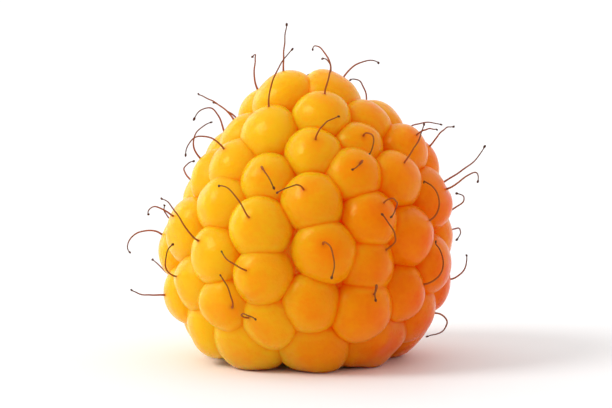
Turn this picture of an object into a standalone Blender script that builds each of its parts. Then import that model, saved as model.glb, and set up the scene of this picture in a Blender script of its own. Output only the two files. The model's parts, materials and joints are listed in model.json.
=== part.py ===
"""A picked golden raspberry, standing on its open end.

The fruit is one hollow thimble of drupelets grown together, open below where it came off its stalk.
Threads stand on it: each is the dried style of one drupelet, with the knob of its stigma at the tip.
Metres, +Z up, with the origin on the surface that the fruit stands on, under its middle.
"""

import math

import bpy
import numpy as np
from mathutils import Matrix, Vector

MM = 0.001

# The fruit: its outline is that of the tips of the drupelets.
FRUIT_HEIGHT = 22.0 * MM
FRUIT_WIDTH = 21.4 * MM
WIDEST_AT = 8.1 * MM  # height of the widest place
SHOULDER_POWER = 1.75  # above 1 draws the shoulder in towards a cone
SHOULDER_SWAY = 0.8 * MM  # how far the shoulder leans over to +X
RIM_RADIUS = 6.75 * MM  # of the ring of drupelets' middles that it stands on
RIM_LIFT = 1.6 * MM  # height of those middles

# The drupelets.
DRUPELETS = 72
DRUPELET_RISE = 1.85 * MM  # from a drupelet's middle to its tip
SIZE_SPREAD = 0.15  # how far their sizes differ, as a share
SIZE_LIMIT = 1.6  # of those differences, in standard deviations
SIZE_TAPER = 0.2  # how much larger they are at the rim than at the top, as a share
PRESSED_WIDTH = 1.17  # half the width before pressing, over half the way to a neighbour
PROUD_SPREAD = 0.16 * MM  # how unevenly they stand out
PROUD_LIMIT = 1.5  # of that, in standard deviations
TILT_SPREAD = 0.10  # how unevenly they lean, as a slope
FOOT_DEPTH = 0.13  # share of a drupelet's reach below its middle that is flattened at the rim
RIM_BAND = 0.5 * DRUPELET_RISE  # those whose middles are less than this above the rim's stand on the floor
PACKING_REACH = 2.1  # how near two drupelets come before they push, in half widths when packed
PACKING_PUSH = 0.22  # share of that nearness that one step undoes
PACKING_STEPS = 260
PACKING_NEIGHBOURS = 5  # whose mean distance sets a drupelet's width
LAYOUT_SEED = 257
LAYOUT_TURN = math.radians(280.0)  # of the whole layout about Z

# The core that joins the drupelets, and the hollow that the stalk leaves in it.
CORE_FOOT = 3.0 * MM  # height, above the middles of the rim's drupelets
CORE_POINTS = 16
HOLLOW_RADIUS = 4.5 * MM
HOLLOW_DEPTH = 16.0 * MM
HOLLOW_POWER = 0.6
HOLLOW_POINTS = 11
CUT_OVERRUN = 2.0 * MM  # how far the cutters reach below the floor

# The threads.
THREADS = 58
THREAD_RADIUS = 0.07 * MM
KNOB_RADIUS = 0.13 * MM
THREAD_LENGTH = (2.6 * MM, 5.4 * MM)
THREAD_POINTS = 10
THREAD_LEAN = 0.55  # slope at which they leave the drupelet, towards the top of the fruit
THREAD_LEAN_SPREAD = 0.25  # how unevenly they lean, as a slope
THREAD_SWING = 0.35  # how far that way up wanders, as a slope
THREAD_FALL_UP = 0.5  # how far the way they bend over keeps upwards, as a slope
THREAD_CURL = 2.2  # most turn of that way along a thread, in radians
BEND_HASTE = 1.0  # how much sooner the bend comes near the root
LYING_SHARE = 0.75  # of the threads arch back to the skin, and the others stand off it
LYING_BEND = (1.7, 2.7)  # radians
STANDING_BEND = (0.4, 1.2)  # radians
THREAD_ROOT_DEPTH = 0.12 * MM
THREAD_CLEARANCE = 0.22 * MM
THREAD_FLOOR_GAP = 0.5 * MM
CLEARING_PASSES = 4
THREAD_SEED = 125

FLESH_COLOUR = (0.83, 0.30, 0.01)
FLESH_ROUGHNESS = 0.35
STYLE_COLOUR = (0.28, 0.09, 0.02)
STYLE_ROUGHNESS = 0.6

SPHERE_SEGMENTS = 11
SPHERE_RINGS = 8
TURN_STEPS = 40
PROFILE_POINTS = 400
MERGE_DISTANCE = 0.01 * MM
GOLDEN_ANGLE = math.pi * (3.0 - math.sqrt(5.0))


def unit(vectors):
    return vectors / np.linalg.norm(vectors, axis=-1, keepdims=True)


# ---------------------------------------------------------------- layout of the drupelets


def middle_profile():
    """Radius and height along the surface of the drupelets' middles, from the rim to the top, evenly spaced.

    Below the widest place it is part of an ellipse. Above it the radius is a power of a cosine."""
    widest = FRUIT_WIDTH / 2 - DRUPELET_RISE
    top = FRUIT_HEIGHT - DRUPELET_RISE
    drop = WIDEST_AT - RIM_LIFT
    half_height = drop / math.sqrt(1.0 - (RIM_RADIUS / widest) ** 2)
    below = np.linspace(RIM_LIFT, WIDEST_AT, PROFILE_POINTS)[:-1]
    turn = np.linspace(0.0, math.pi / 2, PROFILE_POINTS)
    radius = np.concatenate(
        [
            widest * np.sqrt(1.0 - ((WIDEST_AT - below) / half_height) ** 2),
            widest * np.cos(turn) ** SHOULDER_POWER,
        ]
    )
    height = np.concatenate([below, WIDEST_AT + (top - WIDEST_AT) * np.sin(turn)])
    length = np.concatenate([[0.0], np.cumsum(np.hypot(np.diff(radius), np.diff(height)))])
    even = np.linspace(0.0, length[-1], PROFILE_POINTS)
    return np.interp(even, length, radius), np.interp(even, length, height)


def sway(height):
    """How far the fruit leans to +X at a height: nothing below the widest place or at the top."""
    climb = (height - WIDEST_AT) / (FRUIT_HEIGHT - DRUPELET_RISE - WIDEST_AT)
    return SHOULDER_SWAY * np.sin(math.pi * np.clip(climb, 0.0, 1.0))


def onto_profile(points, radius, height):
    """Each point moved to the surface turned from the profile, and the outward normal there."""
    out = np.hypot(points[:, 0], points[:, 1])
    nearest = np.argmin((out[:, None] - radius) ** 2 + (points[:, 2, None] - height) ** 2, axis=1)
    angle = np.arctan2(points[:, 1], points[:, 0])
    around = np.stack([np.cos(angle), np.sin(angle)], axis=1)
    slope_out, slope_up = np.gradient(radius), np.gradient(height)
    placed = np.column_stack([around * radius[nearest, None], height[nearest]])
    normal = np.column_stack([around * slope_up[nearest, None], -slope_out[nearest]])
    return placed, unit(normal), nearest


def drupelet_layout():
    """Middles, outward axes and half widths of the drupelets.

    They start on a spiral of golden angles and push each other apart until they are packed.
    Those at the rim are then raised until each is cut by the surface that the fruit stands on."""
    rng = np.random.default_rng(LAYOUT_SEED)
    radius, height = middle_profile()
    area = np.cumsum(radius)
    start = np.interp((np.arange(DRUPELETS) + 0.5) / DRUPELETS * area[-1], area, np.arange(PROFILE_POINTS))
    along = start.astype(int)
    angle = np.arange(DRUPELETS) * GOLDEN_ANGLE
    points = np.column_stack([radius[along] * np.cos(angle), radius[along] * np.sin(angle), height[along]])
    size = 1.0 + SIZE_SPREAD * np.clip(rng.normal(size=DRUPELETS), -SIZE_LIMIT, SIZE_LIMIT)
    size *= 1.0 + SIZE_TAPER * (0.5 - along / PROFILE_POINTS)
    step = np.hypot(radius[1] - radius[0], height[1] - height[0])
    surface = 2.0 * math.pi * area[-1] * step
    packed = math.sqrt(surface / (DRUPELETS * 2.0 * math.sqrt(3.0) * np.mean(size**2)))
    reach = PACKING_REACH * packed
    for _ in range(PACKING_STEPS):
        apart = points[:, None] - points[None]
        distance = np.linalg.norm(apart, axis=2) + np.eye(DRUPELETS)
        push = np.clip(reach * (size[:, None] + size) / 2 - distance, 0.0, None)
        np.fill_diagonal(push, 0.0)
        points = points + PACKING_PUSH * np.sum(apart / distance[..., None] * push[..., None], axis=1)
        points, normal, along = onto_profile(points, radius, height)
    distance = np.linalg.norm(points[:, None] - points[None], axis=2) + np.eye(DRUPELETS)
    neighbours = np.sort(distance, axis=1)[:, 1 : 1 + PACKING_NEIGHBOURS]
    half_width = PRESSED_WIDTH * np.mean(neighbours, axis=1) / 2
    axis = unit(normal + TILT_SPREAD * rng.normal(size=(DRUPELETS, 3)))
    proud = PROUD_SPREAD * np.clip(rng.normal(size=(DRUPELETS, 1)), -PROUD_LIMIT, PROUD_LIMIT)
    points = points + normal * proud
    at_rim = points[:, 2] < RIM_LIFT + RIM_BAND
    slope = axis[at_rim, 2]
    drop = np.sqrt(half_width[at_rim] ** 2 * (1.0 - slope**2) + (DRUPELET_RISE * slope) ** 2)
    points[at_rim, 2] = (1.0 - FOOT_DEPTH) * drop
    cosine, sine = math.cos(LAYOUT_TURN), math.sin(LAYOUT_TURN)
    turn = np.array([[cosine, -sine, 0.0], [sine, cosine, 0.0], [0.0, 0.0, 1.0]])
    points, axis = points @ turn.T, axis @ turn.T
    points[:, 0] += sway(points[:, 2])
    return points, axis, half_width


# ---------------------------------------------------------------- the fruit


def material(name, colour, roughness):
    made = bpy.data.materials.new(name)
    made.use_nodes = True
    shader = made.node_tree.nodes["Principled BSDF"]
    shader.inputs["Base Color"].default_value = (*colour, 1.0)
    shader.inputs["Roughness"].default_value = roughness
    shader.inputs["Metallic"].default_value = 0.0
    return made


def move_to(obj, collection):
    for holder in obj.users_collection:
        holder.objects.unlink(obj)
    collection.objects.link(obj)


def as_helper(obj, helpers):
    """Marks an object that shapes the fruit and isn't part of it."""
    obj.hide_render = True
    obj.display_type = "WIRE"
    move_to(obj, helpers)
    return obj


def turned(name, profile, collection):
    """A solid of revolution about Z. The profile runs down its outer side, from axis to axis."""
    mesh = bpy.data.meshes.new(name)
    points = [(radius, 0.0, height) for radius, height in profile]
    mesh.from_pydata(points, [(i, i + 1) for i in range(len(points) - 1)], [])
    obj = bpy.data.objects.new(name, mesh)
    collection.objects.link(obj)
    screw = obj.modifiers.new("turn", "SCREW")
    screw.axis = "Z"
    screw.steps = screw.render_steps = TURN_STEPS
    screw.use_merge_vertices = True
    screw.merge_threshold = MERGE_DISTANCE
    return obj


def frame_on(axis):
    """A rotation whose Z is the given direction."""
    return Vector(axis).to_track_quat("Z", "Y").to_matrix().to_4x4()


def drupelet_bodies(layout, helpers):
    """One stretched sphere for each drupelet, all sharing one mesh, in a collection of their own."""
    group = bpy.data.collections.new("drupelets")
    helpers.children.link(group)
    bpy.ops.mesh.primitive_uv_sphere_add(segments=SPHERE_SEGMENTS, ring_count=SPHERE_RINGS, radius=1.0)
    first = bpy.context.object
    sphere = first.data
    sphere.shade_smooth()
    bpy.data.objects.remove(first)
    for number, (middle, axis, half_width) in enumerate(zip(*layout), start=1):
        body = bpy.data.objects.new(f"drupelet_{number:02d}", sphere)
        group.objects.link(body)
        stretch = Matrix.Diagonal((half_width, half_width, DRUPELET_RISE, 1.0))
        body.matrix_world = Matrix.Translation(middle) @ frame_on(axis) @ stretch
        body.hide_render = True
        body.display_type = "WIRE"
    return group


def hollow_profile():
    """Down the wall of the hollow, whose radius falls to nothing at its depth, and on through the floor."""
    height = HOLLOW_DEPTH * np.cos(np.linspace(0.0, math.pi / 2, HOLLOW_POINTS))
    radius = HOLLOW_RADIUS * (1.0 - (height / HOLLOW_DEPTH) ** 2) ** HOLLOW_POWER
    wall = list(zip(radius, height))
    return [*wall, (HOLLOW_RADIUS, -CUT_OVERRUN), (0.0, -CUT_OVERRUN)]


def add_boolean(obj, name, operation, other):
    modifier = obj.modifiers.new(name, "BOOLEAN")
    modifier.operation = operation
    modifier.solver = "EXACT"
    if isinstance(other, bpy.types.Collection):
        modifier.operand_type = "COLLECTION"
        modifier.collection = other
    else:
        modifier.object = other


def swayed_copy(obj, name, collection):
    """The object's evaluated mesh as a new object that leans as the fruit does. The old one is removed."""
    graph = bpy.context.evaluated_depsgraph_get()
    mesh = bpy.data.meshes.new_from_object(obj.evaluated_get(graph))
    for vertex in mesh.vertices:
        vertex.co.x += sway(vertex.co.z)
    bpy.data.objects.remove(obj)
    copy = bpy.data.objects.new(name, mesh)
    collection.objects.link(copy)
    return copy


def fruit(layout, parts, helpers):
    """The fused drupelets: a turned core joins the spheres, then the hollow and the feet are cut."""
    radius, height = middle_profile()
    foot = np.searchsorted(height, CORE_FOOT) + 1
    shown = np.linspace(PROFILE_POINTS - 1, foot, CORE_POINTS).astype(int)
    outer = list(zip(radius[shown], height[shown]))
    outer[0] = (0.0, outer[0][1])
    straight = turned("straight_core", [*outer, (RIM_RADIUS, CORE_FOOT), (0.0, CORE_FOOT)], helpers)
    core = swayed_copy(straight, "fruit", parts)
    add_boolean(core, "drupelets", "UNION", drupelet_bodies(layout, helpers))
    hollow = as_helper(turned("hollow_cutter", hollow_profile(), helpers), helpers)
    add_boolean(core, "hollow", "DIFFERENCE", hollow)
    bpy.ops.mesh.primitive_cube_add(size=1.0, location=(0.0, 0.0, -CUT_OVERRUN))
    ground = as_helper(bpy.context.object, helpers)
    ground.name = "ground_cutter"
    ground.scale = (2.0 * FRUIT_WIDTH, 2.0 * FRUIT_WIDTH, 2.0 * CUT_OVERRUN)
    add_boolean(core, "feet", "DIFFERENCE", ground)
    core.data.materials.append(material("golden_flesh", FLESH_COLOUR, FLESH_ROUGHNESS))
    return core


# ---------------------------------------------------------------- the threads


def depth_share(points, layout, margin):
    """How far out of each drupelet each point is: 1 at the margin off its skin, and less inside that."""
    middles, axes, half_widths = layout
    away = points[..., None, :] - middles
    up = np.sum(away * axes, axis=-1)
    side = np.linalg.norm(away - up[..., None] * axes, axis=-1)
    return np.hypot(side / (half_widths + margin), up / (DRUPELET_RISE + margin))


def pushed_out(point, layout):
    """A point too near to the drupelets, moved straight out from the middle of the nearest one."""
    for _ in range(CLEARING_PASSES):
        share = depth_share(point, layout, THREAD_CLEARANCE)
        nearest = np.argmin(share)
        if share[nearest] < 1.0:
            middle = layout[0][nearest]
            point = middle + (point - middle) / share[nearest]
    return np.maximum(point, (-np.inf, -np.inf, THREAD_FLOOR_GAP))


def thread_start(number, layout, rng):
    """The way a thread leaves the middle of its drupelet, and its root.

    It leans towards the top of the fruit, but never so far that a neighbour covers the root."""
    own = tuple(values[number : number + 1] for values in layout)
    middle, axis = own[0][0], own[1][0]
    others = tuple(np.delete(values, number, axis=0) for values in layout)
    upward = np.array([0.0, 0.0, 1.0]) - axis * axis[2] + 1e-6
    lean = THREAD_LEAN * unit(upward + THREAD_SWING * rng.normal(size=3))
    lean = lean + THREAD_LEAN_SPREAD * rng.normal(size=3)
    for share in np.linspace(1.0, 0.0, 5):
        start = unit(axis + share * lean)
        root = middle + start / depth_share(middle + start, own, -THREAD_ROOT_DEPTH)
        if depth_share(root, others, THREAD_CLEARANCE).min() > 1.0:
            break
    return start, root


def thread_route(number, layout, rng):
    """Points from a thread's root to its tip. A lying one arches over to the skin, and a standing one leans."""
    start, root = thread_start(number, layout, rng)
    length = rng.uniform(*THREAD_LENGTH)
    fall = unit(np.cross(start, rng.normal(size=3)) + np.array([0.0, 0.0, THREAD_FALL_UP]))
    across = np.cross(start, fall)
    lying = rng.random() < LYING_SHARE
    bend = rng.uniform(*(LYING_BEND if lying else STANDING_BEND))
    curl = rng.uniform(-THREAD_CURL, THREAD_CURL)
    share = np.linspace(0.0, 1.0, THREAD_POINTS)
    lean = bend * (1.0 - np.exp(-BEND_HASTE * share)) / (1.0 - math.exp(-BEND_HASTE))
    heading = (
        np.cos(lean)[:, None] * start
        + (np.sin(lean) * np.cos(curl * share))[:, None] * fall
        + (np.sin(lean) * np.sin(curl * share))[:, None] * across
    )
    step = length / (THREAD_POINTS - 1)
    route = [root]
    for direction in unit(heading)[:-1]:
        reached = pushed_out(route[-1] + step * direction, layout)
        route.append(pushed_out(route[-1] + step * unit(reached - route[-1]), layout))
    return np.array(route)


def thread(name, route, parts, finish):
    """A fine tube along the route, with a knob at its tip."""
    curve = bpy.data.curves.new(name, "CURVE")
    curve.dimensions = "3D"
    curve.bevel_depth = THREAD_RADIUS
    curve.bevel_resolution = 0
    curve.use_fill_caps = True
    spline = curve.splines.new("POLY")
    spline.points.add(len(route) - 1)
    for point, place in zip(spline.points, route):
        point.co = (*place, 1.0)
    swell = KNOB_RADIUS / THREAD_RADIUS
    spline.points[-2].radius = 0.5 * (1.0 + swell)
    spline.points[-1].radius = swell
    obj = bpy.data.objects.new(name, curve)
    parts.objects.link(obj)
    curve.materials.append(finish)
    return obj


def threads(layout, parts):
    """One thread on each of a random choice of the drupelets, leaving out those that stand on the floor."""
    rng = np.random.default_rng(THREAD_SEED)
    finish = material("dry_style", STYLE_COLOUR, STYLE_ROUGHNESS)
    off_rim = np.flatnonzero(layout[0][:, 2] > layout[2])
    chosen = np.sort(rng.permutation(off_rim)[:THREADS])
    for number, drupelet in enumerate(chosen, start=1):
        thread(f"style_{number:02d}", thread_route(drupelet, layout, rng), parts, finish)


def main():
    for obj in list(bpy.data.objects):
        bpy.data.objects.remove(obj)
    scene = bpy.context.scene.collection
    parts = bpy.data.collections.new("raspberry")
    helpers = bpy.data.collections.new("cutters")
    scene.children.link(parts)
    scene.children.link(helpers)
    layout = drupelet_layout()
    fruit(layout, parts, helpers)
    threads(layout, parts)


main()
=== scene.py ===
"""A picked golden raspberry: one fused skin of translucent drupelets, hollow below.

A dried style stands on most drupelets, and on none that touches down. Metres, +Z up. The fruit stands on
the plane Z = 0 on its open end. Its flesh is painted paler to -X and deeper to +X, partly a riper side and
partly painted light and shade from a light at the left, and paler towards the top as painted light from
above. The camera looks along +Y.
"""

import json
import math

import bpy
import numpy as np
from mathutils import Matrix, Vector

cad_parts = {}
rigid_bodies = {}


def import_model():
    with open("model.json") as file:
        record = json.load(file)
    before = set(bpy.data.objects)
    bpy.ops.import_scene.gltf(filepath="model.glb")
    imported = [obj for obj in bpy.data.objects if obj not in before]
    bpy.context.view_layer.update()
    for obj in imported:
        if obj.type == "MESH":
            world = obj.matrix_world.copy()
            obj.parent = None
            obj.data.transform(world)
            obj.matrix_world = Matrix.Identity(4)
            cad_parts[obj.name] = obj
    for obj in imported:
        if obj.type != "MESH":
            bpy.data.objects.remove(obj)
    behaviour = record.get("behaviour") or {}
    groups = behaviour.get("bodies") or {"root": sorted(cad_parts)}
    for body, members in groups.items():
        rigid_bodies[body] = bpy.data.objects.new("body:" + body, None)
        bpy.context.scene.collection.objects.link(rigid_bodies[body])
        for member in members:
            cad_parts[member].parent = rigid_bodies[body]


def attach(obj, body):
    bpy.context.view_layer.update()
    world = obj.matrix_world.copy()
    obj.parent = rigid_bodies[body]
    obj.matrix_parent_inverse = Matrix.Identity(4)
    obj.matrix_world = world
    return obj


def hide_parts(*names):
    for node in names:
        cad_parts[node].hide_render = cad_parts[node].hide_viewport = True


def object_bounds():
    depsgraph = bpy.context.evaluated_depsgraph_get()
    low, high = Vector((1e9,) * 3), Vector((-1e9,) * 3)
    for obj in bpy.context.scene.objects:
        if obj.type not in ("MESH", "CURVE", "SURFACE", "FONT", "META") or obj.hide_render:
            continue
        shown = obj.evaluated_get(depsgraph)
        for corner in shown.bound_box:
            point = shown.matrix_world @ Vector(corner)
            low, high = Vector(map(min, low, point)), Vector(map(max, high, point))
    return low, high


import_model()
CAD_BOX = [list(corner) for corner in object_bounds()]

bl_info = {
    "name": "Golden Raspberry",
    "version": (1, 0, 0),
    "blender": (4, 5, 0),
    "location": "3D View > Sidebar > Raspberry",
    "description": "Builds a picked golden raspberry with its dried styles, and a small studio round it",
    "category": "Add Mesh",
}

MM = 0.001
BODY = "root"

# ---------------------------------------------------------- growth: the plan that the solid parts follow

# The fruit: its outline is that of the tips of the drupelets.
FRUIT_HEIGHT = 22.0 * MM
FRUIT_WIDTH = 21.4 * MM
WIDEST_AT = 8.1 * MM  # height of the widest place
SHOULDER_POWER = 1.75  # above 1 draws the shoulder in towards a cone
SHOULDER_SWAY = 0.8 * MM  # how far the shoulder leans over to +X
RIM_RADIUS = 6.75 * MM  # of the ring of drupelets' middles that it stands on
RIM_LIFT = 1.6 * MM  # height of those middles

# The drupelets.
DRUPELETS = 72
DRUPELET_RISE = 1.85 * MM  # from a drupelet's middle to its tip
SIZE_SPREAD = 0.15  # how far their sizes differ, as a share
SIZE_LIMIT = 1.6  # of those differences, in standard deviations
SIZE_TAPER = 0.2  # how much larger they are at the rim than at the top, as a share
PRESSED_WIDTH = 1.17  # half the width before pressing, over half the way to a neighbour
PROUD_SPREAD = 0.16 * MM  # how unevenly they stand out
PROUD_LIMIT = 1.5  # of that, in standard deviations
TILT_SPREAD = 0.10  # how unevenly they lean, as a slope
FOOT_DEPTH = 0.13  # share of a drupelet's reach below its middle that is flattened at the rim
RIM_BAND = 0.5 * DRUPELET_RISE  # those whose middles are less than this above the rim's stand on the floor
PACKING_REACH = 2.1  # how near two drupelets come before they push, in half widths when packed
PACKING_PUSH = 0.22  # share of that nearness that one step undoes
PACKING_STEPS = 260
PACKING_NEIGHBOURS = 5  # whose mean distance sets a drupelet's width
LAYOUT_SEED = 257
LAYOUT_TURN = math.radians(280.0)  # of the whole layout about Z

# The core that joins the drupelets, and the hollow that the stalk leaves in it.
CORE_FOOT = 3.0 * MM
HOLLOW_RADIUS = 4.5 * MM
HOLLOW_DEPTH = 16.0 * MM
HOLLOW_POWER = 0.6

# The threads.
THREADS = 58
THREAD_LENGTH = (2.6 * MM, 5.4 * MM)
THREAD_POINTS = 10
THREAD_LEAN = 0.55  # slope at which they leave the drupelet, towards the top of the fruit
THREAD_LEAN_SPREAD = 0.25  # how unevenly they lean, as a slope
THREAD_SWING = 0.35  # how far that way up wanders, as a slope
THREAD_FALL_UP = 0.5  # how far the way they bend over keeps upwards, as a slope
THREAD_CURL = 2.2  # most turn of that way along a thread, in radians
BEND_HASTE = 1.0  # how much sooner the bend comes near the root
LYING_SHARE = 0.75  # of the threads arch back to the skin, and the others stand off it
LYING_BEND = (1.7, 2.7)  # radians
STANDING_BEND = (0.4, 1.2)  # radians
THREAD_ROOT_DEPTH = 0.12 * MM
THREAD_CLEARANCE = 0.22 * MM
THREAD_FLOOR_GAP = 0.5 * MM
CLEARING_PASSES = 4
THREAD_SEED = 125

PROFILE_POINTS = 400
GOLDEN_ANGLE = math.pi * (3.0 - math.sqrt(5.0))


def unit(vectors):
    return vectors / np.linalg.norm(vectors, axis=-1, keepdims=True)


def middle_profile():
    """Radius and height along the surface of the drupelets' middles, evenly spaced from rim to top.

    Below the widest place it is part of an ellipse. Above it the radius is a power of a cosine."""
    widest = FRUIT_WIDTH / 2 - DRUPELET_RISE
    top = FRUIT_HEIGHT - DRUPELET_RISE
    drop = WIDEST_AT - RIM_LIFT
    half_height = drop / math.sqrt(1.0 - (RIM_RADIUS / widest) ** 2)
    below = np.linspace(RIM_LIFT, WIDEST_AT, PROFILE_POINTS)[:-1]
    turn = np.linspace(0.0, math.pi / 2, PROFILE_POINTS)
    radius = np.concatenate(
        [
            widest * np.sqrt(1.0 - ((WIDEST_AT - below) / half_height) ** 2),
            widest * np.cos(turn) ** SHOULDER_POWER,
        ]
    )
    height = np.concatenate([below, WIDEST_AT + (top - WIDEST_AT) * np.sin(turn)])
    length = np.concatenate([[0.0], np.cumsum(np.hypot(np.diff(radius), np.diff(height)))])
    even = np.linspace(0.0, length[-1], PROFILE_POINTS)
    return np.interp(even, length, radius), np.interp(even, length, height)


def sway(height):
    """How far the fruit leans to +X at a height: nothing below the widest place or at the top."""
    climb = (height - WIDEST_AT) / (FRUIT_HEIGHT - DRUPELET_RISE - WIDEST_AT)
    return SHOULDER_SWAY * np.sin(math.pi * np.clip(climb, 0.0, 1.0))


def onto_profile(points, radius, height):
    """Each point moved to the surface turned from the profile, and the outward normal there."""
    out = np.hypot(points[:, 0], points[:, 1])
    nearest = np.argmin((out[:, None] - radius) ** 2 + (points[:, 2, None] - height) ** 2, axis=1)
    angle = np.arctan2(points[:, 1], points[:, 0])
    around = np.stack([np.cos(angle), np.sin(angle)], axis=1)
    slope_out, slope_up = np.gradient(radius), np.gradient(height)
    placed = np.column_stack([around * radius[nearest, None], height[nearest]])
    normal = np.column_stack([around * slope_up[nearest, None], -slope_out[nearest]])
    return placed, unit(normal), nearest


def drupelet_layout():
    """Middles, outward axes and half widths of the drupelets.

    They start on a spiral of golden angles and push each other apart until they are packed.
    Those at the rim are then raised until each is cut by the surface that the fruit stands on."""
    rng = np.random.default_rng(LAYOUT_SEED)
    radius, height = middle_profile()
    area = np.cumsum(radius)
    start = np.interp((np.arange(DRUPELETS) + 0.5) / DRUPELETS * area[-1], area, np.arange(PROFILE_POINTS))
    along = start.astype(int)
    angle = np.arange(DRUPELETS) * GOLDEN_ANGLE
    points = np.column_stack([radius[along] * np.cos(angle), radius[along] * np.sin(angle), height[along]])
    size = 1.0 + SIZE_SPREAD * np.clip(rng.normal(size=DRUPELETS), -SIZE_LIMIT, SIZE_LIMIT)
    size *= 1.0 + SIZE_TAPER * (0.5 - along / PROFILE_POINTS)
    step = np.hypot(radius[1] - radius[0], height[1] - height[0])
    surface = 2.0 * math.pi * area[-1] * step
    packed = math.sqrt(surface / (DRUPELETS * 2.0 * math.sqrt(3.0) * np.mean(size**2)))
    reach = PACKING_REACH * packed
    for _ in range(PACKING_STEPS):
        apart = points[:, None] - points[None]
        distance = np.linalg.norm(apart, axis=2) + np.eye(DRUPELETS)
        push = np.clip(reach * (size[:, None] + size) / 2 - distance, 0.0, None)
        np.fill_diagonal(push, 0.0)
        points = points + PACKING_PUSH * np.sum(apart / distance[..., None] * push[..., None], axis=1)
        points, normal, along = onto_profile(points, radius, height)
    distance = np.linalg.norm(points[:, None] - points[None], axis=2) + np.eye(DRUPELETS)
    neighbours = np.sort(distance, axis=1)[:, 1 : 1 + PACKING_NEIGHBOURS]
    half_width = PRESSED_WIDTH * np.mean(neighbours, axis=1) / 2
    axis = unit(normal + TILT_SPREAD * rng.normal(size=(DRUPELETS, 3)))
    proud = PROUD_SPREAD * np.clip(rng.normal(size=(DRUPELETS, 1)), -PROUD_LIMIT, PROUD_LIMIT)
    points = points + normal * proud
    at_rim = points[:, 2] < RIM_LIFT + RIM_BAND
    slope = axis[at_rim, 2]
    drop = np.sqrt(half_width[at_rim] ** 2 * (1.0 - slope**2) + (DRUPELET_RISE * slope) ** 2)
    points[at_rim, 2] = (1.0 - FOOT_DEPTH) * drop
    cosine, sine = math.cos(LAYOUT_TURN), math.sin(LAYOUT_TURN)
    turn = np.array([[cosine, -sine, 0.0], [sine, cosine, 0.0], [0.0, 0.0, 1.0]])
    points, axis = points @ turn.T, axis @ turn.T
    points[:, 0] += sway(points[:, 2])
    return points, axis, half_width


def depth_share(points, layout, margin):
    """How far out of each drupelet each point is: 1 at the margin off its skin, and less inside that."""
    middles, axes, half_widths = layout
    away = points[..., None, :] - middles
    up = np.sum(away * axes, axis=-1)
    side = np.linalg.norm(away - up[..., None] * axes, axis=-1)
    return np.hypot(side / (half_widths + margin), up / (DRUPELET_RISE + margin))


def pushed_out(point, layout):
    """A point too near to the drupelets, moved straight out from the middle of the nearest one."""
    for _ in range(CLEARING_PASSES):
        share = depth_share(point, layout, THREAD_CLEARANCE)
        nearest = np.argmin(share)
        if share[nearest] < 1.0:
            middle = layout[0][nearest]
            point = middle + (point - middle) / share[nearest]
    return np.maximum(point, (-np.inf, -np.inf, THREAD_FLOOR_GAP))


def thread_start(number, layout, rng):
    """The way a thread leaves the middle of its drupelet, and its root.

    It leans towards the top of the fruit, but never so far that a neighbour covers the root."""
    own = tuple(values[number : number + 1] for values in layout)
    middle, axis = own[0][0], own[1][0]
    others = tuple(np.delete(values, number, axis=0) for values in layout)
    upward = np.array([0.0, 0.0, 1.0]) - axis * axis[2] + 1e-6
    lean = THREAD_LEAN * unit(upward + THREAD_SWING * rng.normal(size=3))
    lean = lean + THREAD_LEAN_SPREAD * rng.normal(size=3)
    for share in np.linspace(1.0, 0.0, 5):
        start = unit(axis + share * lean)
        root = middle + start / depth_share(middle + start, own, -THREAD_ROOT_DEPTH)
        if depth_share(root, others, THREAD_CLEARANCE).min() > 1.0:
            break
    return start, root


def thread_route(number, layout, rng):
    """Points from a thread's root to its tip. A lying one arches over to the skin, a standing one leans."""
    start, root = thread_start(number, layout, rng)
    length = rng.uniform(*THREAD_LENGTH)
    fall = unit(np.cross(start, rng.normal(size=3)) + np.array([0.0, 0.0, THREAD_FALL_UP]))
    across = np.cross(start, fall)
    lying = rng.random() < LYING_SHARE
    bend = rng.uniform(*(LYING_BEND if lying else STANDING_BEND))
    curl = rng.uniform(-THREAD_CURL, THREAD_CURL)
    share = np.linspace(0.0, 1.0, THREAD_POINTS)
    lean = bend * (1.0 - np.exp(-BEND_HASTE * share)) / (1.0 - math.exp(-BEND_HASTE))
    heading = (
        np.cos(lean)[:, None] * start
        + (np.sin(lean) * np.cos(curl * share))[:, None] * fall
        + (np.sin(lean) * np.sin(curl * share))[:, None] * across
    )
    step = length / (THREAD_POINTS - 1)
    route = [root]
    for direction in unit(heading)[:-1]:
        reached = pushed_out(route[-1] + step * direction, layout)
        route.append(pushed_out(route[-1] + step * unit(reached - route[-1]), layout))
    return np.array(route)


def all_routes(layout):
    """The route of every thread, in the order of their numbers."""
    rng = np.random.default_rng(THREAD_SEED)
    off_rim = np.flatnonzero(layout[0][:, 2] > layout[2])
    chosen = np.sort(rng.permutation(off_rim)[:THREADS])
    return [thread_route(drupelet, layout, rng) for drupelet in chosen]


# ---------------------------------------------------------- settings


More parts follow.
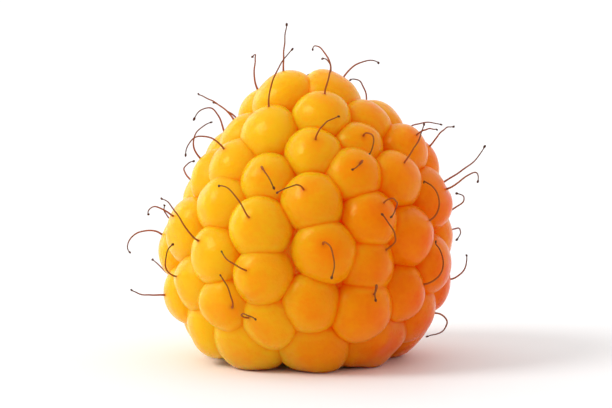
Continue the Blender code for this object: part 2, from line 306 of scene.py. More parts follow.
class RaspberryFruitSettings(bpy.types.PropertyGroup):
    segments: bpy.props.IntProperty(
        name="Segments", description="Faces round each drupelet", default=48, min=12, max=64
    )
    rings: bpy.props.IntProperty(
        name="Rings",
        description="Faces from the tip of each drupelet to its inner end",
        default=30,
        min=8,
        max=40,
    )
    fullness: bpy.props.FloatProperty(
        name="Fullness",
        description="Width of a drupelet before its neighbours press on it, over that in the growth plan",
        default=0.98,
        min=0.8,
        max=1.5,
    )
    squareness: bpy.props.FloatProperty(
        name="Squareness",
        description="How sharply a drupelet turns where it meets a neighbour: high is flat sided",
        default=12.0,
        min=2.0,
        max=30.0,
    )
    contact: bpy.props.FloatProperty(
        name="Contact",
        description="How far neighbours grow into each other, over the way to the middle of the gap",
        default=1.3,
        min=1.0,
        max=1.6,
    )
    wobble: bpy.props.FloatProperty(
        name="Wobble",
        description="How uneven each drupelet is, as a share of its size",
        default=0.04,
        min=0.0,
        max=0.1,
    )
    # The flesh runs from the pale colour at -X to the deep one at +X: partly a riper side, partly painted
    # light and shade from a light at the left.
    pale_colour: bpy.props.FloatVectorProperty(
        name="Pale colour",
        description="Flesh of the paler side",
        subtype="COLOR",
        size=3,
        min=0.0,
        max=1.0,
        default=(0.81, 0.45, 0.008),
    )
    amber_colour: bpy.props.FloatVectorProperty(
        name="Amber colour",
        description="Flesh half way round to the riper side",
        subtype="COLOR",
        size=3,
        min=0.0,
        max=1.0,
        default=(0.86, 0.255, 0.001),
    )
    deep_colour: bpy.props.FloatVectorProperty(
        name="Deep colour",
        description="Flesh of the riper side",
        subtype="COLOR",
        size=3,
        min=0.0,
        max=1.0,
        default=(0.78, 0.09, 0.0),
    )
    glow_depth: bpy.props.FloatProperty(
        name="Glow depth",
        description="How far light travels in the flesh",
        unit="LENGTH",
        subtype="DISTANCE",
        default=0.0013,
        min=0.0,
        precision=5,
    )
    shine: bpy.props.FloatProperty(
        name="Shine", description="Strength of the reflection off the skin", default=0.35, min=0.0, max=1.0
    )


class RaspberryThreadSettings(bpy.types.PropertyGroup):
    thickness: bpy.props.FloatProperty(
        name="Thickness",
        description="Diameter of a dried style at its root",
        unit="LENGTH",
        subtype="DISTANCE",
        default=0.00014,
        min=0.00002,
        precision=5,
    )
    knob: bpy.props.FloatProperty(
        name="Knob",
        description="Diameter of the dried stigma at the tip",
        unit="LENGTH",
        subtype="DISTANCE",
        default=0.00019,
        min=0.00002,
        precision=5,
    )
    root_colour: bpy.props.FloatVectorProperty(
        name="Root colour",
        description="Amber brown where the style leaves the drupelet",
        subtype="COLOR",
        size=3,
        min=0.0,
        max=1.0,
        default=(0.38, 0.08, 0.008),
    )
    tip_colour: bpy.props.FloatVectorProperty(
        name="Tip colour",
        description="Dark brown of the dried stigma",
        subtype="COLOR",
        size=3,
        min=0.0,
        max=1.0,
        default=(0.07, 0.018, 0.008),
    )


class RaspberryStageSettings(bpy.types.PropertyGroup):
    elevation: bpy.props.FloatProperty(
        name="Elevation",
        description="Angle that the camera looks down at",
        subtype="ANGLE",
        default=math.radians(8.0),
    )
    distance: bpy.props.FloatProperty(
        name="Distance",
        description="From the camera to the middle of the fruit",
        unit="LENGTH",
        subtype="DISTANCE",
        default=0.45,
    )
    frame_width: bpy.props.FloatProperty(
        name="Frame width",
        description="Width of what the camera sees at the fruit",
        unit="LENGTH",
        subtype="DISTANCE",
        default=0.0445,
        precision=4,
    )
    room_light: bpy.props.FloatProperty(
        name="Room light", description="Strength of the soft light from all round", default=0.98, min=0.0
    )
    front_share: bpy.props.FloatProperty(
        name="Front share",
        description="Light from behind the camera, over that from the back and the sides",
        default=0.5,
        min=0.0,
        max=1.0,
    )
    key_light: bpy.props.FloatProperty(
        name="Key light", description="Strength of the large soft light at the left", default=1.5, min=0.0
    )
    rim_light: bpy.props.FloatProperty(
        name="Rim light",
        description="Strength of the light behind the fruit at the left",
        default=0.45,
        min=0.0,
    )


# ---------------------------------------------------------- mesh and shader helpers


def new_mesh_object(name, points, faces, collection=None):
    """An object at the origin whose mesh has these points and faces."""
    mesh = bpy.data.meshes.new(name)
    mesh.from_pydata(points.tolist(), [], faces)
    made = bpy.data.objects.new(name, mesh)
    (collection or bpy.context.scene.collection).objects.link(made)
    return made


def capped_grid(rings, segments):
    """Faces of a closed sheet of rings, each of so many points, with one more point at either end.

    Rings run from the first end point to the last. Each square joins two neighbours on one ring to the two
    next to them on the ring after it."""
    ring = np.arange(rings - 1)[:, None] * segments
    spot = np.arange(segments)
    beside = (spot + 1) % segments
    following = ring + segments
    squares = np.stack([ring + spot, following + spot, following + beside, ring + beside], axis=-1)
    first, last = rings * segments, rings * segments + 1
    end_ring = (rings - 1) * segments
    first_cap = np.stack([np.full(segments, first), spot, beside], axis=-1)
    last_cap = np.stack([np.full(segments, last), end_ring + beside, end_ring + spot], axis=-1)
    return squares.reshape(-1, 4).tolist() + first_cap.tolist() + last_cap.tolist()


def smooth_step(values, low, high):
    """0 below the low value, 1 above the high one, and a smooth S between."""
    share = np.clip((values - low) / (high - low), 0.0, 1.0)
    return share * share * (3.0 - 2.0 * share)


def store(mesh, name, values):
    """Keeps one number for each point of the mesh, for the material to read."""
    attribute = mesh.attributes.new(name, "FLOAT", "POINT")
    attribute.data.foreach_set("value", np.asarray(values, np.float32))


class Wire:
    """A socket of a shader node that can stand in a Python expression. Each operator adds one Math node."""

    def __init__(self, bench, socket):
        self.bench = bench
        self.socket = socket

    def __add__(self, other):
        return self.bench.math("ADD", self, other)

    def __sub__(self, other):
        return self.bench.math("SUBTRACT", self, other)

    def __rsub__(self, other):
        return self.bench.math("SUBTRACT", other, self)

    def __mul__(self, other):
        return self.bench.math("MULTIPLY", self, other)

    def __truediv__(self, other):
        return self.bench.math("DIVIDE", self, other)

    def __pow__(self, other):
        return self.bench.math("POWER", self, other)

    __radd__ = __add__
    __rmul__ = __mul__

    def clamped(self):
        return self.bench.math("ADD", self, 0.0, use_clamp=True)


def set_stops(ramp, stops):
    """Puts grey stops on a colour ramp that starts with two. Each is a place and a number."""
    while len(ramp.elements) < len(stops):
        ramp.elements.new(0.5)
    for element, (place, level) in zip(ramp.elements, stops):
        element.position = place
        element.color = (level, level, level, 1.0)


class Bench:
    """The node tree of one material or world, with short ways to add nodes to it."""

    def __init__(self, owner, shader="Principled BSDF"):
        owner.use_nodes = True
        self.owner = owner
        self.tree = owner.node_tree
        self.shader = self.tree.nodes[shader]

    def connect(self, node, values):
        """Sets sockets, found by identifier or name, to numbers or to wires."""
        for key, value in values.items():
            socket = next(s for s in node.inputs if s.identifier == key or (s.name == key and s.enabled))
            if isinstance(value, Wire):
                self.tree.links.new(value.socket, socket)
            else:
                socket.default_value = value

    def node(self, kind, output, settings=None, values=None):
        """A new node, its settings made before its sockets. Gives the wire from the output named."""
        made = self.tree.nodes.new("ShaderNode" + kind)
        for key, value in (settings or {}).items():
            if key == "stops":
                set_stops(made.color_ramp, value)
            else:
                setattr(made, key, value)
        self.connect(made, values or {})
        found = next(s for s in made.outputs if s.identifier == output or (s.name == output and s.enabled))
        return Wire(self, found)

    def math(self, operation, first, second, **settings):
        values = {"Value": first, "Value_001": second}
        return self.node("Math", "Value", {"operation": operation, **settings}, values)

    def mix(self, factor, first, second):
        """A colour between two, as the factor says."""
        values = {"Factor_Float": factor, "A_Color": first, "B_Color": second}
        return self.node("Mix", "Result_Color", {"data_type": "RGBA"}, values)

    def stored(self, name):
        return self.node("Attribute", "Fac", {"attribute_name": name})

    def place(self):
        return self.node("TexCoord", "Object")

    def noise(self, size, detail=2.0, roughness=0.5):
        """Smooth noise whose features are about the given size in metres."""
        values = {"Vector": self.place(), "Scale": 1.0 / size, "Detail": detail, "Roughness": roughness}
        return self.node("TexNoise", "Fac", None, values)

    def ramp(self, value, stops):
        """A number from 0 to 1 turned into another, by straight lines between (place, number) stops."""
        return self.node("ValToRGB", "Color", {"stops": stops}, {"Fac": value})

    def bump(self, height, distance, strength=1.0, normal=None):
        values = {"Height": height, "Distance": distance, "Strength": strength}
        if normal is not None:
            values["Normal"] = normal
        return self.node("Bump", "Normal", None, values)


def opaque(colour):
    return (*colour, 1.0)


# ---------------------------------------------------------- the fruit

# Each drupelet's own grid and shape.
TIP_CLOSENESS = 0.38  # how much closer its rings are near the tip: 0 spaces them evenly
NEIGHBOUR_RANGE = 6.5 * MM  # between the middles of two that can press on each other
LEAST_SLOPE = 1e-3  # towards a plane, so that no distance to it is endless
FOOT_SQUARENESS = 16  # how sharply it turns where it meets the floor
FOOT_OVERRUN = 1.003  # where that rounding aims, over the way to the floor
WOBBLE_WAVES = 5
WOBBLE_PITCH = 1.9
WOBBLE_SEED = 3

# Its inner end, which just shows in the hollow.
INWARD_SEARCH = np.linspace(0.0, 14.0 * MM, 200)  # places along its axis, inwards from its middle
INWARD_REACH = 6.0 * MM  # of one whose axis misses the hollow
THROUGH_WALL = 0.35 * MM
INWARD_LIMITS = (1.6 * MM, 6.5 * MM)

# The core.
CORE_SEGMENTS = 120
CORE_OUTER_RINGS = 60
CORE_INNER_RINGS = 70
SHARP_ANGLE = math.radians(38.0)  # between faces, above which a groove stays crisp

# What is stored on the skin for its material.
SKIN_SEED = 8
GROOVE_SPREAD = 0.45  # difference between the depths in two neighbours at which a groove ends
HOLLOW_EDGE = (0.2 * MM, 1.3 * MM)  # off the wall of the hollow, where its colour fades out
SCAR_RADIUS = 0.20 * MM
SEED_HALF_LENGTH = 1.15 * MM
SEED_HALF_WIDTH = 0.72 * MM
SEED_WANDER = 0.15 * MM
SEED_FRONT = 1.0 * MM  # how far out of the middle the skin is before the seed is fully behind it
SEED_EDGE = (0.55, 1.35)  # where its shade starts to fall and where it ends, over its own size

# How deep the colour is: 0 is pale, 0.5 is amber and 1 is deep. Each adds to it or takes from it.
DEPTH_AT_FOOT = 0.50
# Deeper towards +X: partly a riper side, partly painted shade away from the light at the left.
DEPTH_TO_RIPE_AND_SHADED_SIDE = 0.50
# Paler upwards and near the top: painted light from above.
PAINTED_TOP_LIGHT_BY_HEIGHT = 0.26
PAINTED_TOP_LIGHT_NEAR_TOP = 0.20
DEPTH_BY_DRUPELET = 0.16
DEPTH_BY_CLOUD = 0.4
DEPTH_BY_MOTTLE = 0.20
DEPTH_LOST_BY_CELL = 0.12
DEPTH_OVER_SEED = 0.10
# Paler beside each groove: a painted glow of light through the thin edges of the drupelets.
PAINTED_EDGE_GLOW = 0.10

# The patterns in the flesh and the relief of the skin.
CLOUD_SIZE = 6.0 * MM
MOTTLE_SIZE = 0.7 * MM
CELL_SIZE = 0.30 * MM
GRAIN_SIZE = 0.16 * MM
MIDDLE_CELL = 0.4  # about the mean of the cell pattern
MOTTLE_RELIEF = (0.06 * MM, 0.6)  # depth and strength
GRAIN_RELIEF = (0.014 * MM, 0.7)
# Where that painted edge glow is strongest: beside a groove, less in the groove itself.
PAINTED_EDGE_GLOW_BAND = ((0.0, 0.0), (0.40, 0.0), (0.72, 1.0), (0.92, 0.8), (1.0, 0.2))  # strongest beside a groove
HOLLOW_COLOUR = (0.93, 0.66, 0.22, 1.0)
HOLLOW_PALENESS = 0.75
SCAR_COLOUR = (0.40, 0.10, 0.01, 1.0)
SCAR_DARKNESS = 0.6
FLESH_ROUGHNESS = 0.21
GROOVE_ROUGHNESS = 0.15
GRAIN_ROUGHNESS = 0.25
HOLLOW_ROUGHNESS = 0.25
FLESH_IOR = 1.38
REFLECTION_TINT = (1.0, 0.7, 0.25, 1.0)
GLOW_BY_COLOUR = (5.0, 1.5, 0.15)  # how far red, green and blue light travel, over the glow depth


def frames_on(axes):
    """Three arrays of directions at right angles for each axis, the third being the axis itself."""
    helper = np.where(np.abs(axes[:, 2:]) < 0.9, [[0.0, 0.0, 1.0]], [[1.0, 0.0, 0.0]])
    first = unit(np.cross(helper, axes))
    return first, np.cross(axes, first), axes


def grid_directions(rings, segments, axes):
    """Directions from the middle of each drupelet: a grid round its axis, then the two ends of the axis.

    The angle off the axis is half a turn times a blend of a share and its cube, so that rings are closer
    near the tip."""
    share = np.linspace(0.0, 1.0, rings + 2)[1:-1]
    off_axis = math.pi * ((1.0 - TIP_CLOSENESS) * share + TIP_CLOSENESS * share**3)
    round_axis = np.arange(segments) * 2.0 * math.pi / segments
    off, turn = (values.ravel() for values in np.meshgrid(off_axis, round_axis, indexing="ij"))
    local = np.stack([np.sin(off) * np.cos(turn), np.sin(off) * np.sin(turn), np.cos(off)], axis=-1)
    local = np.concatenate([local, [[0.0, 0.0, 1.0], [0.0, 0.0, -1.0]]])
    return np.einsum("mk,knc->nmc", local, np.stack(frames_on(axes)))


def hollow_radius(height):
    """Radius of the hollow at a height: a power of a circle, falling to nothing at its depth."""
    return HOLLOW_RADIUS * np.clip(1.0 - (height / HOLLOW_DEPTH) ** 2, 0.0, 1.0) ** HOLLOW_POWER


def inner_reach(layout):
    """How far each drupelet reaches inwards: to the wall of the hollow and a little through it."""
    middles, axes, _ = layout
    walk = middles[:, None] - axes[:, None] * INWARD_SEARCH[None, :, None]
    inside = np.hypot(walk[..., 0], walk[..., 1]) < hollow_radius(walk[..., 2])
    met = np.where(inside.any(axis=1), INWARD_SEARCH[np.argmax(inside, axis=1)], INWARD_REACH)
    return np.clip(met + THROUGH_WALL, *INWARD_LIMITS)


def drupelet_radii(directions, layout, settings):
    """Distance from the middle of each drupelet to its skin, and to the floor, in each direction.

    Free, it is an egg: an ellipse whose inward half is longer than its outward one. Each neighbour is a
    plane part way to it, and the floor is one more. The skin is the smooth minimum of them all: the sum of
    each distance to a negative power, taken back to that power's root."""
    middles, axes, half_widths = layout
    up = np.einsum("nmc,nc->nm", directions, axes)
    side = np.sqrt(np.clip(1.0 - up**2, 0.0, 1.0))
    reach = np.where(up > 0.0, DRUPELET_RISE, inner_reach(layout)[:, None])
    free = 1.0 / np.hypot(side / (settings.fullness * half_widths[:, None]), up / reach)
    power = settings.squareness
    pressed = free**-power
    for number in range(len(middles)):
        apart = middles - middles[number]
        distance = np.linalg.norm(apart, axis=1)
        near = np.flatnonzero((distance > 0.0) & (distance < NEIGHBOUR_RANGE))
        share = half_widths[number] / (half_widths[number] + half_widths[near])
        plane = settings.contact * distance[near] * share
        facing = np.maximum(directions[number] @ (apart[near] / distance[near, None]).T, LEAST_SLOPE)
        pressed[number] += np.sum((plane / facing) ** -power, axis=1)
    radii = pressed ** (-1.0 / power)
    floor = middles[:, None, 2] / np.maximum(-directions[..., 2], LEAST_SLOPE)
    joined = radii**-FOOT_SQUARENESS + (FOOT_OVERRUN * floor) ** -FOOT_SQUARENESS
    return joined ** (-1.0 / FOOT_SQUARENESS), floor


def wobbled(directions, radii, amount):
    """The radii with slow waves over them: a few cosines for each drupelet, in random directions."""
    rng = np.random.default_rng(WOBBLE_SEED)
    count = len(radii)
    total = np.zeros_like(radii)
    for _ in range(WOBBLE_WAVES):
        wave = rng.normal(size=(count, 3)) * WOBBLE_PITCH
        phase = rng.uniform(0.0, 2.0 * math.pi, size=(count, 1))
        total += np.cos(np.einsum("nmc,nc->nm", directions, wave) + phase)
    return radii * (1.0 + amount * total / math.sqrt(WOBBLE_WAVES))


def core_points():
    """A thimble that joins the drupelets, and how many rings it has: down its outside, then up the hollow.

    Both sides are turned about Z and lean as the fruit does. The outside is the surface of the drupelets'
    middles."""
    radius, height = middle_profile()
    foot = np.searchsorted(height, CORE_FOOT) + 1
    outer_at = np.linspace(PROFILE_POINTS - 1, foot, CORE_OUTER_RINGS).astype(int)
    climb = np.linspace(0.0, 1.0, CORE_INNER_RINGS)
    inner_height = CORE_FOOT + (HOLLOW_DEPTH - CORE_FOOT) * np.sin(climb * math.pi / 2)
    ring_radius = np.concatenate([radius[outer_at], hollow_radius(inner_height)])
    ring_height = np.concatenate([height[outer_at], inner_height])
    turn = np.arange(CORE_SEGMENTS) * 2.0 * math.pi / CORE_SEGMENTS
    rings = ring_radius[1:-1, None]
    level = np.broadcast_to(ring_height[1:-1, None], (len(rings), CORE_SEGMENTS))
    grid = np.stack([rings * np.cos(turn) + sway(level), rings * np.sin(turn), level], axis=-1)
    ends = [[sway(ring_height[0]), 0.0, ring_height[0]], [0.0, 0.0, ring_height[-1]]]
    return np.concatenate([grid.reshape(-1, 3), ends]), len(rings)


def fused_skin(layout, settings):
    """One closed skin: the union of the core and of the drupelets, each a closed grid before that."""
    rings, segments = settings.rings, settings.segments
    directions = grid_directions(rings, segments, layout[1])
    radii, floor = drupelet_radii(directions, layout, settings)
    radii = np.minimum(wobbled(directions, radii, settings.wobble), floor)
    points = layout[0][:, None] + directions * radii[..., None]
    faces = capped_grid(rings, segments)
    shells = bpy.data.collections.new("drupelet_shells")
    bpy.context.scene.collection.children.link(shells)
    for number, shell in enumerate(points, start=1):
        new_mesh_object(f"shell_{number:02d}", shell, faces, shells)
    wall, wall_rings = core_points()
    core = new_mesh_object("core", wall, capped_grid(wall_rings, CORE_SEGMENTS))
    union = core.modifiers.new("fuse", "BOOLEAN")
    union.operation = "UNION"
    union.solver = "MANIFOLD"
    union.operand_type = "COLLECTION"
    union.collection = shells
    graph = bpy.context.evaluated_depsgraph_get()
    fused = bpy.data.meshes.new_from_object(core.evaluated_get(graph))
    for helper in [core, *shells.objects]:
        bpy.data.objects.remove(helper)
    bpy.data.collections.remove(shells)
    return fused


def mesh_points(mesh):
    points = np.empty(len(mesh.vertices) * 3, np.float32)
    mesh.vertices.foreach_get("co", points)
    return points.reshape(-1, 3).astype(float)


def seed_shadow(points, layout, own, rng):
    """How much of the seed is behind each point: 1 over its middle, falling to 0 past its edge.

    The seed is an oval across the drupelet's axis, a little off its middle and turned at random."""
    middles, axes, _ = layout
    first, second, _ = frames_on(axes)
    turn = rng.uniform(0.0, math.pi, len(middles))
    long_way = first * np.cos(turn)[:, None] + second * np.sin(turn)[:, None]
    short_way = np.cross(axes, long_way)
    away = points - (middles + rng.normal(size=middles.shape) * SEED_WANDER)[own]
    along = np.sum(away * long_way[own], axis=1) / SEED_HALF_LENGTH
    beside = np.sum(away * short_way[own], axis=1) / SEED_HALF_WIDTH
    facing = smooth_step(np.sum(away * axes[own], axis=1), 0.0, SEED_FRONT)
    return facing * (1.0 - smooth_step(np.hypot(along, beside), *SEED_EDGE))


def describe_skin(mesh, layout, routes):
    """Stores what the flesh material reads: ripeness, and how near a groove, seed, hollow or style is."""
    points = mesh_points(mesh)
    share = depth_share(points, layout, 0.0)
    order = np.argsort(share, axis=1)[:, :2]
    first = np.take_along_axis(share, order[:, :1], axis=1)[:, 0]
    second = np.take_along_axis(share, order[:, 1:], axis=1)[:, 0]
    own = order[:, 0]
    store(mesh, "groove", 1.0 - smooth_step(second - first, 0.0, GROOVE_SPREAD))
    rng = np.random.default_rng(SKIN_SEED)
    store(mesh, "ripeness", rng.uniform(0.0, 1.0, DRUPELETS)[own])
    store(mesh, "seed", seed_shadow(points, layout, own, rng))
    wall = np.hypot(points[:, 0], points[:, 1]) - hollow_radius(points[:, 2])
    store(mesh, "hollow", 1.0 - smooth_step(wall, *HOLLOW_EDGE))
    roots = np.array([route[0] for route in routes])
    nearest = np.min(np.linalg.norm(points[:, None] - roots, axis=2), axis=1)
    store(mesh, "scar", np.exp(-((nearest / SCAR_RADIUS) ** 2)))


def flesh_material(settings):
    """Translucent flesh: yellow to -X and orange to +X, partly ripeness and partly painted light and shade.

    It is paler towards the top as painted light from above, and paler by each drupelet's edge as a painted
    glow of light through thin flesh.
    """
    bench = Bench(bpy.data.materials.new("golden_flesh"))
    across = bench.node("SeparateXYZ", "X", None, {"Vector": bench.place()})
    height = bench.node("SeparateXYZ", "Z", None, {"Vector": bench.place()})
    groove, seed = bench.stored("groove"), bench.stored("seed")
    ripe, hollow, scar = bench.stored("ripeness"), bench.stored("hollow"), bench.stored("scar")
    cloud = bench.noise(CLOUD_SIZE, 2.0)
    mottle = bench.noise(MOTTLE_SIZE, 3.0, 0.6)
    grain = bench.noise(GRAIN_SIZE, 2.0, 0.6)
    spots = {"Vector": bench.place(), "Scale": 1.0 / CELL_SIZE}
    cells = bench.node("TexVoronoi", "Distance", {"feature": "F1"}, spots)
    climb = height / FRUIT_HEIGHT
    # Painted glow of light through thin flesh beside each groove.
    edge = bench.ramp(groove, PAINTED_EDGE_GLOW_BAND)
    # Deeper to +X, partly a riper side and partly painted shade; paler upwards as painted light from above.
    depth = across / (FRUIT_WIDTH / 2) * DEPTH_TO_RIPE_AND_SHADED_SIDE + DEPTH_AT_FOOT
    depth = depth - climb * (climb * PAINTED_TOP_LIGHT_NEAR_TOP + PAINTED_TOP_LIGHT_BY_HEIGHT)
    depth = depth + (ripe - 0.5) * DEPTH_BY_DRUPELET + (cloud - 0.5) * DEPTH_BY_CLOUD
    depth = depth + (mottle - 0.5) * DEPTH_BY_MOTTLE - (cells - MIDDLE_CELL) * DEPTH_LOST_BY_CELL
    depth = (depth + seed * DEPTH_OVER_SEED - edge * PAINTED_EDGE_GLOW).clamped()
    to_amber = bench.ramp(depth, [(0.0, 0.0), (0.5, 1.0), (1.0, 1.0)])
    to_deep = bench.ramp(depth, [(0.0, 0.0), (0.5, 0.0), (1.0, 1.0)])
    flesh = bench.mix(to_amber, opaque(settings.pale_colour), opaque(settings.amber_colour))
    flesh = bench.mix(to_deep, flesh, opaque(settings.deep_colour))
    flesh = bench.mix(hollow * HOLLOW_PALENESS, flesh, HOLLOW_COLOUR)
    flesh = bench.mix((scar * SCAR_DARKNESS).clamped(), flesh, SCAR_COLOUR)
    roughness = FLESH_ROUGHNESS + groove * GROOVE_ROUGHNESS
    roughness = roughness + (grain - 0.5) * GRAIN_ROUGHNESS + hollow * HOLLOW_ROUGHNESS
    relief = bench.bump(mottle, *MOTTLE_RELIEF)
    bench.connect(
        bench.shader,
        {
            "Base Color": flesh,
            "Roughness": roughness.clamped(),
            "Normal": bench.bump(grain + cells, *GRAIN_RELIEF, relief),
            "IOR": FLESH_IOR,
            "Specular IOR Level": settings.shine,
            "Specular Tint": REFLECTION_TINT,
            "Subsurface Weight": 1.0,
            "Subsurface Radius": GLOW_BY_COLOUR,
            "Subsurface Scale": settings.glow_depth,
        },
    )
    return bench.owner


class RASPBERRY_OT_fruit(bpy.types.Operator):
    """Build the fused skin of drupelets and the hollow inside it"""

    bl_idname = "raspberry.fruit"
    bl_label = "Build Fruit"

    def execute(self, context):
        settings = context.scene.raspberry_fruit
        layout = drupelet_layout()
        mesh = fused_skin(layout, settings)
        mesh.name = "raspberry_fruit"
        describe_skin(mesh, layout, all_routes(layout))
        mesh.shade_smooth()
        mesh.set_sharp_from_angle(angle=SHARP_ANGLE)
        fruit = bpy.data.objects.new("raspberry_fruit", mesh)
        context.scene.collection.objects.link(fruit)
        mesh.materials.clear()
        mesh.materials.append(flesh_material(settings))
        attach(fruit, BODY)
        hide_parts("fruit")
        return {"FINISHED"}


# ---------------------------------------------------------- the dried styles

STYLE_SEED = 21
STYLE_RINGS = 44
STYLE_SIDES = 8
FIRST_SIDE = (0.31, 0.57, 0.76)  # any direction that no thread starts along
LAST_PHASE = 6.0  # radians, for what starts anywhere in its turn
CRINKLE = 0.02 * MM
CRINKLE_TURNS = (9.0, 22.0)  # radians along a thread
CRINKLE_START = (0.1, 0.5)  # share of the length over which the crinkles begin
THINNING = 0.45  # share of its thickness that a thread loses towards the tip
ROOT_FLARE = 0.5  # how much thicker it is at the very root, as a share
ROOT_FLARE_LENGTH = 0.03
KNOB_PLACE = 0.965
KNOB_LENGTH = 0.03
KNOB_LUMPS = 0.22  # how far from round the knob is
LUMPS_START = (0.9, 0.96)
TIP_START = 0.975  # share of the length from which the tip rounds off
TIP_LENGTH = 0.0255
BAND_SIZE = 0.25 * MM
BAND_CONTRAST = 0.5
BAND_RELIEF = (0.01 * MM, 0.6)  # depth and strength
DARKENING = 1.6  # above 1 keeps the dark for the tip
STYLE_ROUGHNESS = (0.5, 0.3)  # at least, and what a band adds


def through(route, count):
    """So many points along one smooth curve through a route's own points: a Catmull-Rom spline.

    Each stretch is a cubic whose slope at a point is half the way between that point's neighbours."""
    padded = np.concatenate([2 * route[:1] - route[1:2], route, 2 * route[-1:] - route[-2:-1]])
    at = np.linspace(0.0, len(route) - 1.0, count)
    stretch = np.minimum(at.astype(int), len(route) - 2)
    t = (at - stretch)[:, None]
    before, here, there, after = (padded[stretch + offset] for offset in range(4))
    return 0.5 * (
        2.0 * here
        + (there - before) * t
        + (2.0 * before - 5.0 * here + 4.0 * there - after) * t**2
        + (3.0 * here - before - 3.0 * there + after) * t**3
    )


def carried_sides(path):
    """Two directions across the path at each point, carried along it so that they never spin."""
    tangent = unit(np.gradient(path, axis=0))
    side = np.zeros_like(tangent)
    side[0] = unit(np.cross(tangent[0], FIRST_SIDE))
    for place in range(1, len(path)):
        side[place] = unit(side[place - 1] - tangent[place] * (side[place - 1] @ tangent[place]))
    return side, np.cross(tangent, side)


def style_mesh(name, route, settings, rng):
    """A round thread along the route that thins from its root and swells into a lumpy knob at the tip.

    Its path is the route with a small sine wave over it. Its radius is a line that falls along the thread,
    thicker at the root by an exponential and at the knob by a bell, and the tip closes as a quarter ellipse.
    Across it is round, but for the knob, which a sine of twice the angle makes oval."""
    path = through(route, STYLE_RINGS)
    share = np.linspace(0.0, 1.0, STYLE_RINGS)
    crinkle = CRINKLE * smooth_step(share, *CRINKLE_START)[:, None]
    turns = share[:, None] * rng.uniform(*CRINKLE_TURNS, 3)
    path = path + crinkle * np.sin(turns + rng.uniform(0.0, LAST_PHASE, 3))
    side, across = carried_sides(path)
    flare = ROOT_FLARE * np.exp(-share / ROOT_FLARE_LENGTH)
    shaft = settings.thickness / 2 * (1.0 - THINNING * share + flare)
    knob = settings.knob / 2 * np.exp(-(((share - KNOB_PLACE) / KNOB_LENGTH) ** 2))
    past_tip = np.clip(share - TIP_START, 0.0, 1.0) / TIP_LENGTH
    radius = np.maximum(shaft, knob) * np.sqrt(np.clip(1.0 - past_tip**2, 0.0, 1.0))
    turn = np.arange(STYLE_SIDES) * 2.0 * math.pi / STYLE_SIDES
    lumps = KNOB_LUMPS * np.sin(2.0 * turn + rng.uniform(0.0, LAST_PHASE))
    lumps = 1.0 + lumps * smooth_step(share, *LUMPS_START)[:, None]
    ring = side[:, None] * np.cos(turn)[:, None] + across[:, None] * np.sin(turn)[:, None]
    grid = path[:, None] + ring * (radius[:, None] * lumps)[..., None]
    points = np.concatenate([grid[1:-1].reshape(-1, 3), path[:1], path[-1:]])
    faces = [face[::-1] for face in capped_grid(STYLE_RINGS - 2, STYLE_SIDES)]
    made = new_mesh_object(name, points, faces)
    store(made.data, "along", np.concatenate([np.repeat(share[1:-1], STYLE_SIDES), [0.0, 1.0]]))
    made.data.shade_smooth()
    return made


def style_material(settings):
    """Dry brown thread: amber at the root, darkening to the knob, with bands and a dull gloss."""
    bench = Bench(bpy.data.materials.new("dry_style"))
    along = bench.stored("along")
    band = bench.noise(BAND_SIZE, 3.0, 0.6)
    tone = (along**DARKENING + (band - 0.5) * BAND_CONTRAST).clamped()
    shade = bench.mix(tone, opaque(settings.root_colour), opaque(settings.tip_colour))
    least, added = STYLE_ROUGHNESS
    bench.connect(
        bench.shader,
        {
            "Base Color": shade,
            "Roughness": (least + band * added).clamped(),
            "Specular IOR Level": 0.2,
            "Normal": bench.bump(band, *BAND_RELIEF),
        },
    )
    return bench.owner


class RASPBERRY_OT_styles(bpy.types.Operator):
    """Build the dried styles that stand and lie on the drupelets"""

    bl_idname = "raspberry.styles"
    bl_label = "Build Styles"

    def execute(self, context):
        settings = context.scene.raspberry_threads
        finish = style_material(settings)
        rng = np.random.default_rng(STYLE_SEED)
        for number, route in enumerate(all_routes(drupelet_layout()), start=1):
            node = f"style_{number:02d}"
            style = style_mesh(f"dried_{node}", route, settings, rng)
            style.data.materials.append(finish)
            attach(style, BODY)
            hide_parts(node)
        return {"FINISHED"}


# ---------------------------------------------------------- the studio

TABLE_HALF = 5.0
TABLE_COLOUR = (0.94, 0.94, 0.94, 1.0)
ROOM_COLOUR = (1.0, 1.0, 1.0, 1.0)
BRIGHT_FROM = 0.62  # how far back full room light starts: 0 is behind the camera, 1 behind the fruit
KEY_FROM = (-0.72, -0.22, 0.62)
KEY_WIDTH = math.radians(26.0)
RIM_FROM = (-0.75, 0.6, 0.3)
RIM_WIDTH = math.radians(40.0)
AIM_SHARE = 0.46  # height that the camera looks at, over that of the whole object
SENSOR_WIDTH = 36.0  # millimetres, as the lens is


def table_material():
    """Plain matt white."""
    bench = Bench(bpy.data.materials.new("white_table"))
    values = {"Base Color": TABLE_COLOUR, "Roughness": 0.6, "Specular IOR Level": 0.2}
    bench.connect(bench.shader, values)
    return bench.owner


def room(settings):
    """White light from all round: full from the back and the sides, and dimmer from behind the camera.

    Where it is seen past the edge of the table it is plain white, as a backdrop would be."""
    bench = Bench(bpy.data.worlds.new("room"), "Background")
    direction = bench.node("TexCoord", "Generated")
    backward = bench.node("SeparateXYZ", "Y", None, {"Vector": direction})
    share = bench.ramp(backward * 0.5 + 0.5, [(0.0, settings.front_share), (BRIGHT_FROM, 1.0)])
    seen = bench.node("LightPath", "Is Camera Ray")
    strength = share * settings.room_light * (1.0 - seen) + seen
    bench.connect(bench.shader, {"Color": ROOM_COLOUR, "Strength": strength})
    return bench.owner


def soft_sun(name, strength, width, towards):
    """A distant light, as wide in the sky as the angle given, in the direction given."""
    light = bpy.data.objects.new(name, bpy.data.lights.new(name, "SUN"))
    light.data.energy = strength
    light.data.angle = width
    light.rotation_mode = "QUATERNION"
    light.rotation_quaternion = Vector(towards).to_track_quat("Z", "Y")
    bpy.context.scene.collection.objects.link(light)


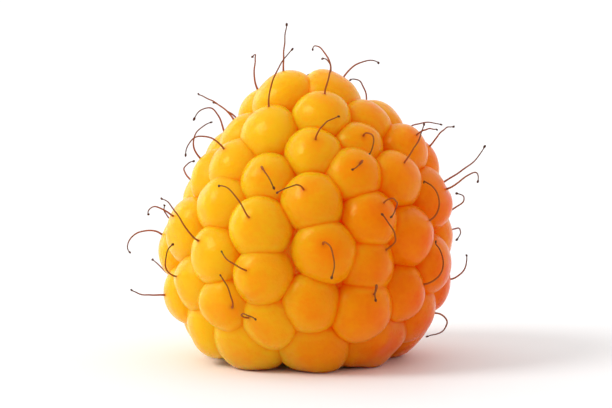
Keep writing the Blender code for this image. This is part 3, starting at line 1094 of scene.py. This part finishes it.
class RASPBERRY_OT_stage(bpy.types.Operator):
    """Build the white table, the lights and the camera"""

    bl_idname = "raspberry.stage"
    bl_label = "Build Stage"

    def execute(self, context):
        settings = context.scene.raspberry_stage
        scene = context.scene
        corners = np.array([[-1.0, -1.0, 0.0], [1.0, -1.0, 0.0], [1.0, 1.0, 0.0], [-1.0, 1.0, 0.0]])
        table = new_mesh_object("white_table", TABLE_HALF * corners, [[0, 1, 2, 3]])
        table.data.materials.append(table_material())
        scene.world = room(settings)
        soft_sun("key_light", settings.key_light, KEY_WIDTH, KEY_FROM)
        soft_sun("rim_light", settings.rim_light, RIM_WIDTH, RIM_FROM)
        low, high = (Vector(corner) for corner in CAD_BOX)
        middle = Vector((0.0, 0.0, low.z + AIM_SHARE * (high.z - low.z)))
        camera = bpy.data.objects.new("camera", bpy.data.cameras.new("camera"))
        rise = settings.elevation
        away = Vector((0.0, -math.cos(rise), math.sin(rise)))
        camera.location = middle + away * settings.distance
        camera.rotation_mode = "QUATERNION"
        camera.rotation_quaternion = away.to_track_quat("Z", "Y")
        camera.data.sensor_width = SENSOR_WIDTH
        camera.data.lens = SENSOR_WIDTH * settings.distance / settings.frame_width
        camera.data.clip_start = 0.01
        camera.data.clip_end = 100.0
        scene.collection.objects.link(camera)
        scene.camera = camera
        scene.view_settings.view_transform = "Standard"
        return {"FINISHED"}


# ---------------------------------------------------------- the add-on


class RASPBERRY_PT_panel(bpy.types.Panel):
    """The settings and the buttons that build each group of pieces"""

    bl_idname = "RASPBERRY_PT_panel"
    bl_label = "Golden Raspberry"
    bl_space_type = "VIEW_3D"
    bl_region_type = "UI"
    bl_category = "Raspberry"

    def draw(self, context):
        for group, operator in BUILD_ORDER:
            box = self.layout.box()
            settings = getattr(context.scene, group)
            for name in settings.__annotations__:
                box.prop(settings, name)
            box.operator(operator)


BUILD_ORDER = (
    ("raspberry_fruit", "raspberry.fruit"),
    ("raspberry_threads", "raspberry.styles"),
    ("raspberry_stage", "raspberry.stage"),
)
SETTINGS = {
    "raspberry_fruit": RaspberryFruitSettings,
    "raspberry_threads": RaspberryThreadSettings,
    "raspberry_stage": RaspberryStageSettings,
}
CLASSES = (
    *SETTINGS.values(),
    RASPBERRY_OT_fruit,
    RASPBERRY_OT_styles,
    RASPBERRY_OT_stage,
    RASPBERRY_PT_panel,
)


def register():
    for each in CLASSES:
        bpy.utils.register_class(each)
    for name, group in SETTINGS.items():
        setattr(bpy.types.Scene, name, bpy.props.PointerProperty(type=group))


def unregister():
    for name in SETTINGS:
        delattr(bpy.types.Scene, name)
    for each in reversed(CLASSES):
        bpy.utils.unregister_class(each)


def main():
    register()
    bpy.ops.raspberry.fruit()
    bpy.ops.raspberry.styles()
    bpy.ops.raspberry.stage()
    bpy.context.view_layer.update()


if __name__ == "__main__":
    main()
